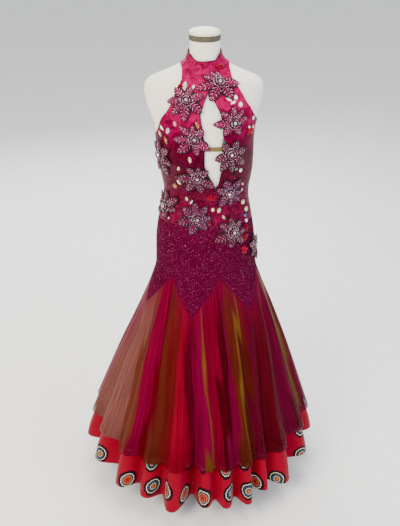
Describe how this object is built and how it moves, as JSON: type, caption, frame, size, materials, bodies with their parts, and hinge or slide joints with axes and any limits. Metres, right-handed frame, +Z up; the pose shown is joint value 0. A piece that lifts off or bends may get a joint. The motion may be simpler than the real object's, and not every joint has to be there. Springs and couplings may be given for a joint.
{
  "type": "ballroom dance dress on a dress form",
  "caption": "Halter ballroom dress with keyhole front, beaded flower applique, low back and fluted godet skirt with printed hem band, standing on a limbless dress form.",
  "frame": {"origin": "centre of the stand base's flat underside, on the floor", "axes": "+Z up the stand's pole; the dress's front faces -Y, and its left, the viewer's right, is +X"},
  "size_m": [0.7963, 0.8021, 1.512],
  "materials": {
    "form_linen": "smooth off-white jersey over the form",
    "neck_tape": "dark woven tape",
    "stand_metal": "satin plated steel",
    "magenta_stretch": "magenta stretch satin with small creases",
    "wine_sparkle": "wine stretch velvet with fine glitter",
    "organza": "shot organza in red, magenta and olive",
    "organza_under": "crimson organza",
    "hem_print": "red satin band with printed roundels",
    "strap_olive": "olive gold elastic",
    "beaded_petal": "petals of mesh with dark cord edges and silver pink beads",
    "red_cloth": "folded red satin",
    "set_stone": "faceted pale stones"
  },
  "bodies": {
    "root": {"form_torso": "form_linen", "neck_band": "neck_tape", "neck_cap": "form_linen", "stand_flange": "stand_metal", "stand_pole": "stand_metal", "stand_base": "stand_metal", "collar": "magenta_stretch", "front": "magenta_stretch", "back": "magenta_stretch", "keyhole_strap": "strap_olive", "yoke": "wine_sparkle", "overlay_front_left": "organza", "overlay_front": "organza", "overlay_front_right": "organza", "overlay_back_right": "organza", "overlay_back_left": "organza", "overlay_side_left": "organza", "underskirt_front_left": "organza_under", "underskirt_front": "organza_under", "underskirt_front_right": "organza_under", "underskirt_back_right": "organza_under", "underskirt_back_left": "organza_under", "underskirt_side_left": "organza_under", "hem_band_front_left": "hem_print", "hem_band_front": "hem_print", "hem_band_front_right": "hem_print", "hem_band_back_right": "hem_print", "hem_band_back_left": "hem_print", "hem_band_side_left": "hem_print", "flower_01": "beaded_petal", "flower_02": "beaded_petal", "flower_03": "beaded_petal", "flower_04": "beaded_petal", "flower_05": "beaded_petal", "flower_06": "beaded_petal", "flower_07": "beaded_petal", "flower_08": "beaded_petal", "flower_09": "beaded_petal", "flower_10": "beaded_petal", "flower_11": "beaded_petal", "flower_12": "beaded_petal", "red_fold_1": "red_cloth", "red_fold_2": "red_cloth", "red_fold_3": "red_cloth", "red_fold_4": "red_cloth", "red_fold_5": "red_cloth", "red_fold_6": "red_cloth", "red_fold_7": "red_cloth", "stone_1": "set_stone", "stone_2": "set_stone", "stone_3": "set_stone", "stone_4": "set_stone", "stone_5": "set_stone", "stone_6": "set_stone", "stone_7": "set_stone", "stone_8": "set_stone"}
  },
  "joints": []
}
